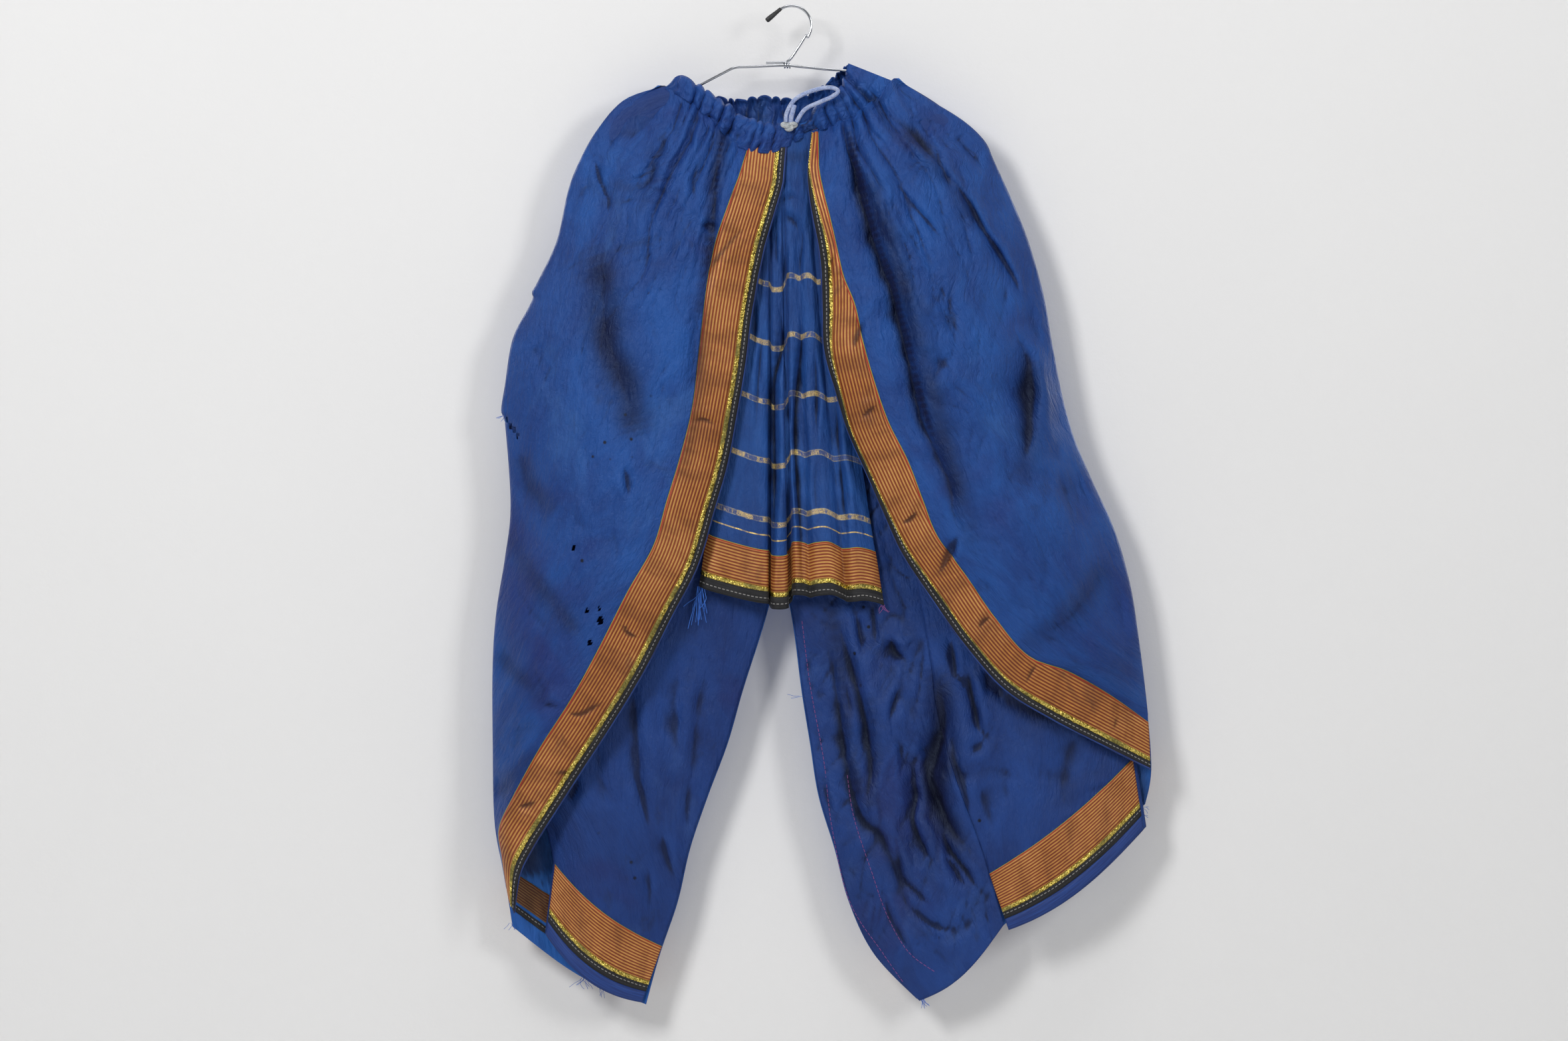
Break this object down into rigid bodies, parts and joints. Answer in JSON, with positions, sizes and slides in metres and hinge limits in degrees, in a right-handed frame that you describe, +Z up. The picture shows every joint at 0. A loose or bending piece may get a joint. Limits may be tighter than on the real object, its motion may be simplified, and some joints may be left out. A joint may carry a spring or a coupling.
{
  "type": "dhoti salwar on a wire hanger",
  "caption": "Blue silk draped trousers with a pleated centre fan, copper striped borders and a drawstring waist, hung from a chrome wire hanger.",
  "frame": {"origin": "top of the inner arc of the hanger's hook, where the rail or nail carries it", "axes": "+Z up, -Y out of the garment's front, +X to the right as seen from the front"},
  "size_m": [0.6977, 0.0953, 1.059],
  "materials": {
    "blue_silk": "shot silk taffeta, soft sheen, creased",
    "copper_border": "fine ribbed stripe in ochre and red-brown with a silky sheen",
    "gold_foil": "metallic foil tape, crinkled, glossy",
    "black_binding": "matt woven bias tape with a stitch line",
    "blue_piping": "thin woven cotton",
    "blue_facing": "thin woven cotton, frayed edge",
    "cord": "flat braided cord, pale blue",
    "cord_knot": "grey-white strip, knotted",
    "hanger_wire": "polished steel wire",
    "rubber_tip": "black rubber sleeve"
  },
  "bodies": {
    "root": {"waist_casing_front": "blue_silk", "waist_casing_back": "blue_silk", "drape_left": "blue_silk", "drape_right": "blue_silk", "leg_left_front": "blue_silk", "leg_left_back": "blue_silk", "leg_right_front": "blue_silk", "leg_right_gore": "blue_silk", "leg_right_back": "blue_silk", "fan": "blue_silk", "drape_left_piping": "blue_piping", "drape_left_binding": "black_binding", "drape_left_gold_line": "gold_foil", "drape_left_band": "copper_border", "drape_right_piping": "blue_piping", "drape_right_binding": "black_binding", "drape_right_gold_line": "gold_foil", "drape_right_band": "copper_border", "leg_left_band": "copper_border", "leg_left_gold_line": "gold_foil", "leg_left_binding": "black_binding", "leg_left_facing": "blue_facing", "leg_right_band": "copper_border", "leg_right_gold_line": "gold_foil", "leg_right_binding": "black_binding", "leg_right_facing": "blue_facing", "fan_band": "copper_border", "fan_gold_line": "gold_foil", "fan_binding": "black_binding", "hanger_hook": "hanger_wire", "hanger_left_arm": "hanger_wire", "hanger_right_arm": "hanger_wire", "hanger_bar": "hanger_wire", "hanger_tip": "rubber_tip", "drawstring_knot": "cord_knot", "drawstring_loop": "cord", "drawstring_end": "cord"}
  },
  "joints": []
}
